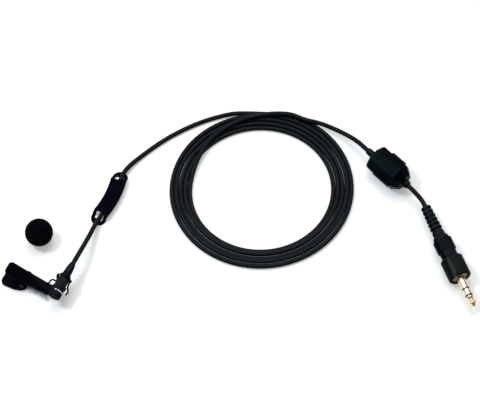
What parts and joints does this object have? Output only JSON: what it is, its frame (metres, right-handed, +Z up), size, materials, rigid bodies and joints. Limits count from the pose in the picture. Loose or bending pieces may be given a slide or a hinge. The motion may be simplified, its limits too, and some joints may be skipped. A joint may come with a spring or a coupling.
{
  "type": "lavalier microphone",
  "caption": "Miniature clip-on condenser microphone in a crocodile clip, with a thin coiled cord, label tag, ferrite case, foam windscreen and locking plug.",
  "frame": {"origin": "on the surface that the object lies on, under the middle of the clipped microphone and its windscreen", "axes": "+Z up from that surface, +Y along the barrel from its sound holes to the cord, +X along the clip from its thumb lever to its jaws"},
  "size_m": [0.1915, 0.1338, 0.013],
  "materials": {
    "black_metal": "satin black lacquer",
    "wire_steel": "blackened spring steel",
    "bright_jaw": "bright nickel",
    "can_metal": "drawn metal",
    "film": "metallised film",
    "brass_inside": "plain brass",
    "white_insulator": "moulded insulator",
    "board": "coated board",
    "chip": "moulded package",
    "boot_rubber": "satin rubber",
    "cord_jacket": "smooth matte jacket",
    "lever_plastic": "fine grained black plastic",
    "foam": "open-cell foam",
    "tag_plastic": "satin dark plastic",
    "case_plastic": "fine grained dark plastic",
    "grommet_rubber": "soft rubber",
    "ferrite": "sintered dark grey",
    "grip_plastic": "satin black plastic",
    "gold": "gold plated",
    "dark_insulator": "dark brown plastic",
    "nut_metal": "satin dark plating"
  },
  "bodies": {
    "microphone": {"barrel": "black_metal", "grille_cap": "black_metal", "grille_mesh": "wire_steel", "capsule_can": "can_metal", "diaphragm": "film", "backplate": "brass_inside", "capsule_insulator": "white_insulator", "preamp_board": "board", "transistor": "chip", "rear_collar": "black_metal", "cable_crimp": "can_metal", "cable_boot": "boot_rubber", "cable_mic_lead": "cord_jacket", "label_tag": "tag_plastic", "cable_coil": "cord_jacket", "cable_plug_lead": "cord_jacket", "case_base": "case_plastic", "core_lower": "ferrite", "case_hinge": "case_plastic", "case_grommets": "grommet_rubber", "plug_boot": "boot_rubber", "plug_grip": "grip_plastic", "plug_core": "gold", "sleeve_contact": "gold", "ring_contact": "gold", "tip_contact": "gold", "plug_insulators": "dark_insulator", "solder_lugs": "brass_inside"},
    "clip": {"upper_arm": "black_metal", "upper_teeth": "lever_plastic", "holder_cradle": "black_metal", "holder_rivet": "wire_steel", "keeper_wire": "wire_steel", "jaw_pin": "wire_steel", "jaw_spring": "wire_steel"},
    "jaw": {"tooth_plate": "bright_jaw", "lower_lever": "lever_plastic"},
    "case_top": {"case_lid": "case_plastic", "core_upper": "ferrite"},
    "nut_ring": {"nut_snap_ring": "wire_steel"},
    "nut": {"lock_nut": "nut_metal"},
    "foam": {"windscreen": "foam"}
  },
  "joints": [
    {"name": "mic_turn", "type": "hinge", "parent": "microphone", "child": "clip", "pos_m": [0.0117, -0.0098, 0.00845], "axis": [0, 1, 0], "continuous": true},
    {"name": "jaw_open", "type": "hinge", "parent": "clip", "child": "jaw", "pos_m": [-0.0047, -0.01115, 0.0041], "axis": [0, 1, 0], "range_deg": [0, 28], "stiffness_Nm_per_rad": 0.05, "springref_deg": -20.05, "deforming": ["jaw_spring"]},
    {"name": "lid_open", "type": "hinge", "parent": "microphone", "child": "case_top", "pos_m": [0.11363, 0.10003, 0.00415], "axis": [0.9272, -0.3746, 0], "range_deg": [0, 120], "deforming": ["case_hinge"]},
    {"name": "nut_slide", "type": "slide", "parent": "microphone", "child": "nut_ring", "axis": [0.7096, -0.7046, 0], "range_m": [0, 0.003]},
    {"name": "nut_turn", "type": "hinge", "parent": "nut_ring", "child": "nut", "pos_m": [0.16132, 0.07164, 0.00505], "axis": [0.7096, -0.7046, 0], "continuous": true},
    {"name": "windscreen_lift", "type": "slide", "parent": "microphone", "child": "foam", "axis": [0, 0, 1], "range_m": [0, 0.03]}
  ]
}
